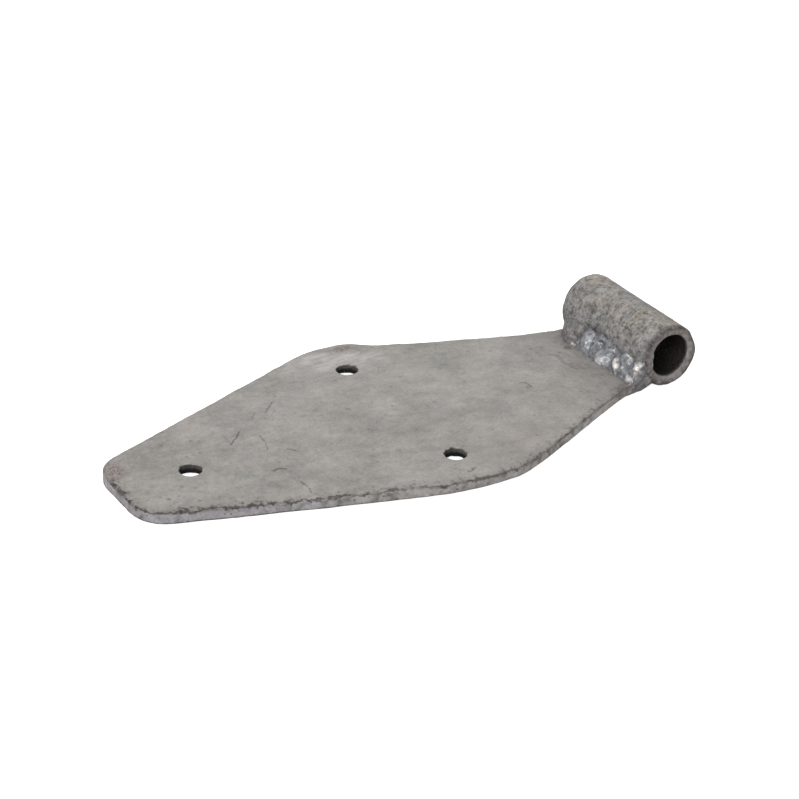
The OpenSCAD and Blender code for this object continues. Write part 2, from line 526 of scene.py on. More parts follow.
def revolved_profile():
    """The wall of the tube's back half as (radius, y, depth into the bore).

    It runs from the middle of the outside, over the rounded end, to the middle of the bore.
    """
    outer_round, inner_round, along_step = 1.3, 0.6, 0.75
    straight = np.arange(-TUBE_HALF + outer_round, TUBE_HALF - outer_round, along_step)
    rows = [(TUBE_R, y, 0) for y in straight if y > 0]
    arc = np.radians(np.linspace(0, 90, 7))
    for a in arc:
        radius = TUBE_R - outer_round * (1 - math.cos(a))
        rows.append((radius, TUBE_HALF - outer_round * (1 - math.sin(a)), 0))
    for radius in np.linspace(TUBE_R - outer_round, BORE_R + inner_round, 6)[1:-1]:
        rows.append((radius, TUBE_HALF, 0))
    for a in arc:
        radius = BORE_R + inner_round * (1 - math.sin(a))
        rows.append((radius, TUBE_HALF - inner_round * (1 - math.cos(a)), 0.5 * a))
    bore = np.linspace(TUBE_HALF - inner_round, 0, 22)[1:]
    return rows + [(BORE_R, y, TUBE_HALF - y) for y in bore]


# Where a pale patch of zinc lies on top of the tube.
PALE_PATCH = (-5, 16, 13.6)
# Raised drops of zinc on the tube: (place, radius, height).
TUBE_LUMPS = [
    (PALE_PATCH, 2.5, 0.22),
    ((-12.3, -4.6, 7.6), 4.2, 0.45),
    ((-11.4, 22.5, 9), 2.6, 0.25),
    ((-11.9, 15, 8.3), 3.6, 0.3),
    ((-10.9, -20.7, 9.6), 2.6, 0.25),
    ((-12.7, -21.9, 7.0), 2.4, 0.25),
]
# How much thinner the zinc gets along the tube's upper back, from its far end to its near one.
TUBE_TAPER = 0.8


def knuckle_tube():
    """The tube, with a lumpy zinc coat, rounded ends and a plain bore."""
    around = 150
    half = revolved_profile()
    other_half = [(r, -y, depth) for r, y, depth in half[::-1]]
    profile = np.array(half + other_half[1:])
    rows = len(profile)
    angle = np.linspace(0, 2 * math.pi, around, endpoint=False)
    r, y, depth = (np.repeat(profile[:, i], around) for i in range(3))
    turn = np.tile(angle, rows)
    points = np.column_stack([-r * np.cos(turn), y, r * np.sin(turn)])
    numbers = [list(range(around * i, around * (i + 1))) for i in range(rows)]
    faces = []
    for first, second in zip(numbers, numbers[1:] + numbers[:1]):
        faces += band(first, second)
    normals = point_normals(points, faces)
    if (normals * points)[r > TUBE_R - 0.1].sum() < 0:
        faces = [face[::-1] for face in faces]
        normals = -normals

    outside = smoothstep(BORE_R + 0.3, BORE_R + 2, r)
    bore_share = 0.25
    coat = 2 * COAT + 0.2 * rough_noise(points, 7, 71)
    coat += 0.2 * np.clip(rough_noise(points, 3.2, 74), -0.25, 1)
    up_and_back = (points[:, 0] + points[:, 2]) / (TUBE_R * math.sqrt(2))
    coat -= TUBE_TAPER * smoothstep(0.6, 0.95, up_and_back) * (TUBE_HALF - y) / (2 * TUBE_HALF)
    for place, radius, height in TUBE_LUMPS:
        coat += height * outside * bump_at(points, place, radius)
    rim = smoothstep(TUBE_HALF - 2.6, TUBE_HALF - 0.6, abs(y)) * outside
    coat += 0.14 * rim * noise(points, 2.2, 77)
    coat *= bore_share + (1 - bore_share) * outside
    rough = points + normals * coat[:, None]

    outer_edge = smoothstep(TUBE_R - 2.2, TUBE_R - 0.9, r)
    outer_edge *= smoothstep(TUBE_HALF - 1.6, TUBE_HALF - 0.6, abs(y))
    # The seam mark is painted shade on the tube along the groove where the top weld meets it.
    seam_middle, seam_reach = (-14.4, 3.5, 0.8), (2.6, 10.5, 1.5)
    seam = np.linalg.norm((points - seam_middle) / seam_reach, axis=1)
    seam += 0.3 * rough_noise(points, 2.4, 79)
    marks = {
        # bore carries the painted shade that turns the bore near-black.
        "bore": smoothstep(0.1, 1.3, depth),
        "end": smoothstep(TUBE_HALF - 0.5, TUBE_HALF - 0.1, abs(y)) * outside,
        "outer_edge": outer_edge * (0.6 + 0.5 * noise(points, 3, 78)),
        "patch": outside * bump_at(points, PALE_PATCH, 2.9),
        "raised": smoothstep(0.0, 0.24, coat),
        "seam": 1 - smoothstep(0.5, 1.1, seam),
    }
    return make_piece("knuckle_tube_zinc", rough, faces, "knuckle_tube", marks)


def bump_at(points, centre, radius):
    """1 at a place and 0 outside a ragged ball round it."""
    reach = np.linalg.norm(points - np.array(centre), axis=1) / radius
    reach += 0.3 * rough_noise(points, radius * 0.8, 81)
    return 1 - smoothstep(0.3, 1.0, reach)


# ---------------------------------------------------------------- welds

def surface_net(field, origin, step):
    """The surface where a grid of distances changes sign, as points and quads.

    The surface is closed flat where it would run out of the grid.
    """
    field = np.pad(field, 1, constant_values=step)
    origin = origin - step
    inside = field < 0
    shape = np.array(field.shape)
    cells = shape - 1
    weight = np.zeros(cells.prod())
    middle = np.zeros((cells.prod(), 3))
    quads = []
    for axis in range(3):
        ahead = [slice(None)] * 3
        ahead[axis] = slice(1, None)
        behind = [slice(None)] * 3
        behind[axis] = slice(None, -1)
        ahead, behind = tuple(ahead), tuple(behind)
        crossed = np.argwhere(inside[behind] != inside[ahead])
        at = tuple(crossed.T)
        first, second = field[behind][at], field[ahead][at]
        place = crossed.astype(float)
        place[:, axis] += first / (first - second)
        u, v = (axis + 1) % 3, (axis + 2) % 3
        ring = []
        for du, dv in ((0, 0), (1, 0), (1, 1), (0, 1)):
            cell = crossed.copy()
            cell[:, u] -= du
            cell[:, v] -= dv
            number = (cell * [cells[1] * cells[2], cells[2], 1]).sum(axis=1)
            np.add.at(weight, number, 1)
            np.add.at(middle, number, place)
            ring.append(number)
        ring = np.column_stack(ring)
        ring[first >= 0] = ring[first >= 0][:, ::-1]
        quads.append(ring)
    quads = np.vstack(quads)
    used, compact = np.unique(quads, return_inverse=True)
    points = middle[used] / weight[used][:, None] * step + origin
    return points, compact.reshape(quads.shape)


def ball(points, centre, radii, axes=None):
    """The distance to an ellipsoid, below 0 inside it."""
    away = points - np.array(centre)
    if axes is not None:
        away = away @ np.array(axes).T
    scaled = away / radii
    k = np.linalg.norm(scaled, axis=-1)
    k2 = np.linalg.norm(scaled / radii, axis=-1)
    return k * (k - 1) / np.maximum(k2, 1e-6)


def joined(first, second, blend):
    """The union of two distance fields with a soft valley of a given width between them."""
    share = np.clip(blend - abs(first - second), 0, None) / blend
    return np.minimum(first, second) - share**2 * blend / 4


def tube_distance(points):
    """The distance to the tube's outer wall, as if the tube were solid."""
    radial = np.hypot(points[:, 0], points[:, 2]) - TUBE_R
    return np.maximum(radial, abs(points[:, 1]) - TUBE_HALF)


def plate_distance(points):
    """The distance to the square end of the plate, good to about 30 mm from the tube."""
    x, y, z = points.T
    return np.maximum.reduce([x - PLATE_END, abs(y) - NECK_HALF, z - TOP, BOTTOM - z])


# The spacing of the grid that a weld is sculpted on.
WELD_STEP = 0.28


def weld_mesh(name, node, low, high, shape, ripple, marks):
    """Sculpts a weld: dabs of metal laid against the plate and the tube.

    shape gives the dabs' distance field, ripple is the depth of the ripples in mm, and marks
    gives the material's numbers at each point.
    """
    # How deep a weld runs into the metal, how far its ripples and its toe reach, how thin it
    # is at the toe, how soft the valley there is, and how far it stays above the floor.
    embed, ripple_reach, toe_reach, skin, valley, skim = 0.5, 2.5, 0.8, 0.12, 1.8, 0.08
    low, high = np.array(low, float), np.array(high, float)
    axes = [np.arange(low[i], high[i], WELD_STEP) for i in range(3)]
    grid = np.stack(np.meshgrid(*axes, indexing="ij"), axis=-1)
    size = grid.shape[:3]
    points = grid.reshape(-1, 3)
    dabs = shape(points)
    near = abs(dabs) < ripple_reach
    rough = np.zeros(len(points))
    rough[near] = ripple * (
        0.6 * rough_noise(points[near], 4.2, 91, 2)
        + 0.3 * noise(points[near], 1.7, 95)
        + 0.1 * noise(points[near] * [0.6, 1.6, 0.6], 0.9, 96)
    )
    dabs = dabs + rough
    metal = np.minimum(plate_distance(points), tube_distance(points))
    toed = joined(dabs, metal + skin, valley)
    above_floor = BOTTOM + skim - points[:, 2]
    field = np.maximum.reduce([toed, -metal - embed, dabs - toe_reach, above_floor])
    surface, quads = surface_net(field.reshape(size), low, WELD_STEP)
    hollow = cavity(np.minimum(dabs, metal).reshape(size), low, surface)
    # The material darkens the weld by cavity in its creases and lightens it on its ridges, as
    # painted shade and painted highlight.
    values = {"cavity": hollow, **marks(surface)}
    return make_piece(name, surface, quads.tolist(), node, values)


def cavity(field, origin, surface):
    """How hollow a surface is at each point: above 0 in creases and below 0 on ridges."""
    radius = 3
    soft = field
    for axis in range(3):
        total = np.zeros_like(soft)
        for shift in range(-radius, radius + 1):
            total += np.roll(soft, shift, axis=axis)
        soft = total / (2 * radius + 1)
    place = (surface - origin) / WELD_STEP
    corner = np.clip(place.astype(int), 0, np.array(field.shape) - 2)
    share = place - corner
    level = np.zeros(len(surface))
    for offset in np.ndindex(2, 2, 2):
        part = np.where(offset, share, 1 - share).prod(axis=1)
        level += part * (soft - field)[tuple((corner + offset).T)]
    return -level


# The top weld lies on a slope from its toe on the plate up to the tube.
SLOPE_TOE = np.array([PLATE_END - 9.5, 0, TOP])
SLOPE_RISE = 9.0
SLOPE_END = np.array([-math.sqrt(TUBE_R**2 - (TOP + SLOPE_RISE)**2), 0, TOP + SLOPE_RISE])
SLOPE_UP = (SLOPE_END - SLOPE_TOE) / np.linalg.norm(SLOPE_END - SLOPE_TOE)
SLOPE_OUT = np.array([-SLOPE_UP[2], 0, SLOPE_UP[0]])
SIDEWAYS = np.array([0, 1, 0])


def on_slope(y, up, out=0.0):
    """A place on the slope of the top weld, up its face and out from it."""
    return SLOPE_TOE + SLOPE_UP * up + SLOPE_OUT * out + SIDEWAYS * y


def slope_axes(slant):
    """The slope's axes, up, sideways and out, turned in its face by an angle in degrees."""
    s, c = math.sin(math.radians(slant)), math.cos(math.radians(slant))
    return [SLOPE_UP * c + SIDEWAYS * s, SIDEWAYS * c - SLOPE_UP * s, SLOPE_OUT]


def lobe(points, y, up, half_y, half_up, out, slant):
    """The distance to one lobe of the top weld.

    y and up are its middle, half_y and half_up are half its sizes, out is how far it stands
    out of the slope and slant is how many degrees its upper end leans towards the back.
    """
    depth = 1.6
    radii = (half_up, half_y, out + depth)
    return ball(points, on_slope(y, up, -depth), radii, slope_axes(slant))


# The lobes of the top weld, from back to front: y, up, half_y, half_up, out, slant.
TOP_LOBES = [
    (23.4, 6.2, 3.0, 3.8, 0.5, 10),
    (18.6, 5.4, 4.4, 5.6, 1.4, 20),
    (14.2, 8.2, 3.0, 3.4, 1.2, 20),
    (6.2, 5.0, 4.3, 6.6, 1.8, 30),
    (0.6, 4.2, 3.0, 4.6, 0.9, 30),
    (-0.6, 8.8, 3.8, 3.0, 1.2, 50),
    (-6.8, 3.0, 4.6, 4.0, 2.1, 26),
    (-7.8, 8.0, 3.6, 3.0, 0.6, 30),
    (-16.6, 3.7, 2.0, 4.3, 2.0, 37),
    (-20.0, 7.6, 3.9, 5.0, 1.7, 30),
    (-22.6, 2.8, 2.6, 3.0, 1.0, 20),
    (-28.8, 8.0, 2.9, 2.9, 1.6, 20),
    (-28.6, 1.6, 3.0, 2.6, 1.1, 20),
    (-27.6, 4.6, 3.0, 3.0, 0.5, 20),
]

# Pin holes and hollows in the top weld: y, up, half_y, half_up, slant.
TOP_PITS = [
    (2.0, 5.6, 0.7, 1.2, -40),
    (-1.6, 9.0, 1.3, 0.6, 20),
    (-3.6, 6.2, 0.6, 1.1, 25),
    (-8.1, 8.6, 1.6, 0.7, 10),
    (-13.2, 3.2, 1.0, 2.0, 35),
    (-26.7, 7.2, 1.1, 1.7, 30),
]


def top_weld_shape(points):
    """The top weld: a sunken fill with slanting lobes over it, and a few pin holes."""
    sunk, sunk_at_back, back_end = 0.6, 2.6, 28.2
    field = (points - SLOPE_TOE) @ SLOPE_OUT + sunk
    field += sunk_at_back * smoothstep(21, 28, points[:, 1])
    field = np.maximum.reduce([field, -points[:, 1] - NECK_HALF, points[:, 1] - back_end])
    for place in TOP_LOBES:
        field = joined(field, lobe(points, *place), 2.3)
    for y, up, half_y, half_up, slant in TOP_PITS:
        pit = ball(points, on_slope(y, up, 1.2), (half_up, half_y, 1.1), slope_axes(slant))
        field = np.maximum(field, 0.5 * rough_noise(points, 1.4, 98) - pit)
    return field


# Painted highlights on the weld's toes and lumps: y, up, half_y, half_up, slant.
PAINTED_HIGHLIGHTS = [
    (13.8, 0.7, 1.6, 0.9, 0),
    (-6.4, 0.9, 3.6, 1.7, 6),
    (-16.7, 3.8, 1.9, 4.3, 37),
    (-22.0, 4.4, 0.9, 0.9, 0),
    (-29.0, 8.4, 2.2, 3.0, 30),
    (-29.6, 5.4, 0.9, 0.8, 0),
    (-28.0, 1.6, 2.6, 2.0, 20),
    (-21.5, 10.2, 2.2, 0.5, -10),
]


def top_weld_marks(points):
    """Where the top weld gets painted highlights, and where it is rough and brown."""
    away = points - SLOPE_TOE
    up, y = away @ SLOPE_UP, points[:, 1]
    # bright is the mask of painted highlights on the toes and lumps.
    bright = np.zeros(len(points))
    for spot_y, spot_up, half_y, half_up, slant in PAINTED_HIGHLIGHTS:
        s, c = math.sin(math.radians(slant)), math.cos(math.radians(slant))
        along = (up - spot_up) * c + (y - spot_y) * s
        across = (y - spot_y) * c - (up - spot_up) * s
        reach = np.hypot(along / half_up, across / half_y) + 0.5 * rough_noise(points, 2.2, 101)
        bright = np.maximum(bright, 1 - smoothstep(0.4, 1.1, reach))
    bright *= smoothstep(-0.6, 0.2, up) * smoothstep(TOP - 0.1, TOP + 0.4, points[:, 2])
    brown = smoothstep(10, 14, y + 0.5 * (up - 4) + 2 * noise(points, 4, 103))
    brown = np.maximum(brown, 0.85 * smoothstep(26, 30, 1.5 * noise(points, 3, 104) - y))
    pale = np.maximum(
        1 - smoothstep(0.5, 1.2, np.hypot((y - 6.4) / 5, (up - 5) / 6)),
        1 - smoothstep(0.5, 1.2, np.hypot((y + 6.8) / 5, (up - 3) / 4)),
    )
    return {"bright": bright, "brown": brown, "pale": pale}


def top_weld():
    """The lumpy weld in the corner between the plate's top and the tube."""
    low = (PLATE_END - 13.5, -NECK_HALF - 2.5, TOP - 2)
    high = (-9, NECK_HALF + 2.5, TOP + 14)
    return weld_mesh("top_weld_bead", "top_weld", low, high, top_weld_shape, 1.0, top_weld_marks)


def lower_weld_marks(points):
    """The lower welds have no painted highlights, and are brown in places."""
    brown = smoothstep(-0.3, 0.5, noise(points, 7, 111))
    return {"bright": np.zeros(len(points)), "brown": brown, "pale": np.zeros(len(points))}


def underside_weld():
    """The bead that fills the groove under the tube."""
    low, high = box_mm("underside_weld")
    middle_x = low[0] + 1.4
    radius = 3.5
    pitch = 6.4

    def shape(points):
        field = np.full(len(points), 9.0)
        places = np.arange(-NECK_HALF + 3.4, NECK_HALF - 2, pitch)
        for number, y in enumerate(places):
            size = radius * (0.96 + 0.06 * math.sin(2.3 * number))
            centre = (middle_x + 0.3 * math.sin(4.1 * number), y, BOTTOM + 3.5)
            field = joined(field, ball(points, centre, (size, pitch * 0.72, size)), 0.8)
        return np.maximum(field, abs(points[:, 1]) - NECK_HALF + 1.6)

    start = (low[0] - 3.5, -NECK_HALF - 2, BOTTOM - 1)
    end = (high[0] + 3, NECK_HALF + 2, TOP)
    name = "underside_weld_bead"
    return weld_mesh(name, "underside_weld", start, end, shape, 0.6, lower_weld_marks)


def end_weld(side, name, node):
    """The dabs that wrap one end of the joint. side is -1 at the front and 1 at the back."""
    edge = side * NECK_HALF
    low_at_back = 1.6 if side > 0 else 0
    dabs = [
        ((PLATE_END - 1.4, edge - side * 0.6, -10.4), (3.2, 1.9, 2.5)),
        ((PLATE_END - 5.0, edge - side * 0.8, -11.4), (3.2, 1.9, 2.6)),
        ((PLATE_END - 8.6, edge - side * 0.9, -12.0), (2.6, 1.5, 2.2)),
    ]

    def shape(points):
        field = np.full(len(points), 9.0)
        for (x, y, z), radii in dabs:
            field = joined(field, ball(points, (x, y, z - low_at_back), radii), 0.9)
        return field

    low = (PLATE_END - 13.5, min(edge, edge + side * 5) - 1.5, BOTTOM - 1)
    high = (PLATE_END + 6, max(edge, edge + side * 5) + 1.5, TOP + 4)
    return weld_mesh(name, node, low, high, shape, 0.7, lower_weld_marks)


# ---------------------------------------------------------------- materials

class Shader:
    """The node tree of a new material or world, with a short way to add each kind of node."""

    def __init__(self, name, kind="materials"):
        self.owner = getattr(bpy.data, kind).new(name)
        self.owner.use_nodes = True
        self.tree = self.owner.node_tree
        self.tree.nodes.clear()
        place = self.add("ShaderNodeTexCoord").outputs["Object"]
        self.place = self.vector("SCALE", place, scale=1 / MM)

    def add(self, kind, inputs=None, **settings):
        """A node, with its settings set and its inputs linked or set."""
        node = self.tree.nodes.new(kind)
        for key, value in settings.items():
            setattr(node, key, value)
        for key, value in (inputs or {}).items():
            if isinstance(value, bpy.types.NodeSocket):
                self.tree.links.new(value, node.inputs[key])
            else:
                node.inputs[key].default_value = value
        return node

    def math(self, operation, first, second=0.0):
        node = self.add("ShaderNodeMath", {0: first, 1: second}, operation=operation)
        return node.outputs[0]

    def plus(self, *values):
        return functools.reduce(lambda total, value: self.math("ADD", total, value), values)

    def minus(self, first, second):
        return self.math("SUBTRACT", first, second)

    def times(self, *values):
        return functools.reduce(lambda total, value: self.math("MULTIPLY", total, value), values)

    def vector(self, operation, first, second=(0, 0, 0), scale=1.0):
        inputs = {0: first, 1: second, 3: scale}
        node = self.add("ShaderNodeVectorMath", inputs, operation=operation)
        return node.outputs["Value" if operation in ("LENGTH", "DOT_PRODUCT") else "Vector"]

    def span(self, value, low, high, start=0.0, end=1.0):
        """Maps low to high onto start to end, with a smooth rise."""
        inputs = {"Value": value, "From Min": low, "From Max": high, "To Min": start, "To Max": end}
        node = self.add("ShaderNodeMapRange", inputs, interpolation_type="SMOOTHSTEP")
        return node.outputs["Result"]

    def noise(self, size, detail=2.0, stretch=(1, 1, 1), shift=0.0, warp=0.0):
        """Noise from 0 to 1 with features about as wide as size, in millimetres."""
        place = self.vector("MULTIPLY", self.place, stretch)
        place = self.vector("ADD", place, (shift, shift, shift))
        inputs = {"Vector": place, "Scale": 1 / size, "Detail": detail, "Distortion": warp}
        return self.add("ShaderNodeTexNoise", inputs).outputs["Fac"]

    def mark(self, name):
        """A number that the mesh carries at each of its points."""
        return self.add("ShaderNodeAttribute", attribute_name=name).outputs["Fac"]

    def mix(self, share, first, second):
        """A colour between two others."""
        node = self.add("ShaderNodeMix", {"Factor": share}, data_type="RGBA")
        for socket, value in ((node.inputs[6], first), (node.inputs[7], second)):
            if isinstance(value, bpy.types.NodeSocket):
                self.tree.links.new(value, socket)
            else:
                socket.default_value = (*value, 1)
        return node.outputs[2]

    def shade(self, colour, factor):
        """A colour made lighter or darker by a factor."""
        return self.vector("SCALE", colour, scale=factor)

    def sum(self, *terms):
        """1 plus each (strength, noise) term, with the noise taken from its middle."""
        total = 1.0
        for strength, value in terms:
            part = self.times(self.minus(value, 0.5), strength)
            total = self.plus(part, total)
        return total

    def finish(self, colour, metallic, roughness, heights):
        """Adds the surface. heights is a list of (height value, its size in millimetres)."""
        normal = None
        for height, size in heights:
            inputs = {"Height": height, "Distance": size * MM, "Strength": 1.0}
            if normal:
                inputs["Normal"] = normal
            normal = self.add("ShaderNodeBump", inputs).outputs["Normal"]
        inputs = {
            "Base Color": colour,
            "Metallic": metallic,
            "Roughness": roughness,
            "Normal": normal,
        }
        surface = self.add("ShaderNodeBsdfPrincipled", inputs)
        self.add("ShaderNodeOutputMaterial", {"Surface": surface.outputs[0]})
        return self.owner


def vein(shader, size, width, shift, cover):
    """Thin wandering lines, 1 on a line, over about a cover share of the surface."""
    wander = shader.noise(size, 1.5, shift=shift, warp=0.4)
    away = shader.math("ABSOLUTE", shader.minus(wander, 0.5))
    line = shader.span(away, 0, width, 1, 0)
    where = shader.noise(size * 1.6, 1, shift=shift + 40)
    return shader.times(line, shader.span(where, 0.62 - cover, 0.7 - cover))


def flecks(shader, size, share, shift):
    """Small round specks, 1 at a speck's middle."""
    place = shader.vector("ADD", shader.place, (shift, shift, shift))
    cells = shader.add("ShaderNodeTexVoronoi", {"Vector": place, "Scale": 1 / size})
    near = shader.span(cells.outputs["Distance"], 0.08, 0.3, 1, 0)
    pick = shader.add("ShaderNodeSeparateColor", {"Color": cells.outputs["Color"]}).outputs[0]
    return shader.times(near, shader.span(pick, 1 - share, 1 - share + 0.02))


def line_mark(shader, place, line, width):
    """A mark along a line of (x, y, z) places, 1 on the line and 0 away from it."""
    gap = None
    for start, end in zip(line, line[1:] or line):
        away = shader.vector("SUBTRACT", place, start)
        run = np.array(end, float) - start
        if run.any():
            share = shader.vector("DOT_PRODUCT", away, tuple(run / (run**2).sum()))
            share = shader.add("ShaderNodeClamp", {"Value": share}).outputs[0]
            along = shader.vector("SCALE", tuple(run), scale=share)
            away = shader.vector("SUBTRACT", away, along)
        reach = shader.vector("LENGTH", away)
        gap = shader.math("MINIMUM", gap, reach) if gap else reach
    return shader.span(gap, width * 0.35, width * 1.1, 1, 0)


def marked(shader, lines):
    """The darkness of some lines, each a (darkness, width, places), with a wandering edge."""
    inputs = {"Vector": shader.place, "Scale": 0.8, "Detail": 2.0}
    shake = shader.add("ShaderNodeTexNoise", inputs).outputs["Color"]
    shake = shader.vector("SUBTRACT", shake, (0.5, 0.5, 0.5))
    place = shader.vector("ADD", shader.place, shader.vector("SCALE", shake, scale=1.3))
    total = 0.0
    for darkness, width, line in lines:
        mark = shader.times(line_mark(shader, place, line, width), darkness)
        total = shader.math("MAXIMUM", total, mark)
    return total


def on_top(*places):
    """Places on the plate's top, from their (x, y)."""
    return [(x, y, TOP) for x, y in places]


# Scratches, pits and knocks on the plate: (darkness, width, places).
PLATE_MARKS = [
    (0.5, 0.5, on_top((-190.3, 19.2), (-194.2, 15.4), (-198.7, 11.4))),
    (0.4, 0.45, on_top((-165.6, 35.2), (-172.5, 28.8))),
    (0.3, 0.4, on_top((-176.5, 30.4), (-181.2, 25.8))),
    (0.12, 0.5, on_top((-197.4, 21.3), (-197.9, 15.6))),
    (0.28, 0.5, on_top((-184.3, 12.5), (-185.2, 5.4), (-187.4, 0.1))),
    (0.35, 0.5, on_top((-180.1, -3.5), (-176.9, -7.2))),
    (0.5, 0.9, on_top((-193.6, -16.6), (-190.9, -16.1), (-188.9, -17.9))),
    (0.35, 0.5, on_top((-188.6, -29.8), (-188.0, -35.3), (-189.2, -40.2))),
    (0.4, 0.8, on_top((-179.5, -44.8))),
    (0.4, 0.8, on_top((-165.3, -48.9))),
    (0.45, 0.5, on_top((-61.5, -3.9), (-59.8, -5.4), (-59.3, -9.1), (-61.3, -9.2))),
    (0.22, 1.2, on_top((-34.4, 11.7), (-32.2, 9.1), (-33.6, 1.6), (-32.1, -5.5))),
    (0.2, 1.2, on_top((-31.5, -0.3), (-28.8, -7.9))),
    (0.45, 1.1, on_top((-241.5, -15.6))),
    (0.4, 0.9, on_top((-231.1, -22.9))),
    (0.35, 0.8, on_top((-243.7, -12.5))),
    (0.35, 0.8, on_top((-249.1, -12.1))),
    (0.4, 0.9, on_top((-212.9, 12.0))),
    (0.35, 0.9, on_top((-224.3, 25.2))),
    (0.35, 0.9, on_top((-211.9, 22.8))),
    (0.45, 1.1, on_top((-124.4, -58.0))),
    (0.5, 0.7, on_top((-122.9, -57.8), (-122.1, -57.0))),
    (0.35, 1.0, on_top((-121.0, -56.9))),
    (0.3, 2.4, on_top((-23.5, 13.3))),
    (0.7, 0.6, [(-203.0, -41.2, -9.6), (-201.2, -41.8, -12.6)]),
    (0.6, 0.8, [(-198, -43.2, -12)]),
]


def edge_crust(s, x, edge, front, ragged, coarse):
    """The dark line where the zinc over the face breaks from the zinc over the cut edge."""
    wander = s.times(s.minus(s.plus(ragged, coarse), 1), s.span(x, -150, -118, 4.5, 2.2))
    middle = s.plus(edge, wander, s.span(x, -150, -118, -0.1, 0.7))
    middle = s.minus(middle, s.span(x, -225, -190, 0.5, 0))
    half_width = s.span(s.noise(4, 2, shift=75), 0.4, 0.62, 0.2, 0.95)
    return s.times(
        s.span(s.minus(s.math("ABSOLUTE", middle), half_width), 0, 0.3, 1, 0),
        s.span(front, 0, 1, 0.1, 0.8),
        s.span(s.noise(7, 2, shift=76), 0.4, 0.56, 0.4, 1),
        s.span(x, -140, -115, 1, 0.8),
        s.span(x, -62, -44, 1, 0.6),
        s.span(edge, 1.4, 2.4, 1, 0),
    )


def edge_border(s, x, edge, front, side, coarse):
    """The dull band with blots that lies just inside the front edge."""
    spread = s.plus(edge, s.times(s.minus(coarse, 0.5), 9))
    spread = s.times(
        s.span(spread, 0.5, 5.0, 1, 0),
        s.minus(1, side),
        s.span(edge, UNDERSIDE_EDGE, UNDERSIDE_EDGE + 0.6),
    )
    blots = s.span(s.noise(1.5, 2, stretch=(1, 0.65, 1), shift=81), 0.52, 0.6)
    blots = s.times(blots, front, s.span(x, -225, -180, 0.6, 0.34))
    dull = s.times(front, s.span(x, -225, -180, 0.26, 0.08))
    return s.plus(s.times(spread, dull), s.times(spread, blots))


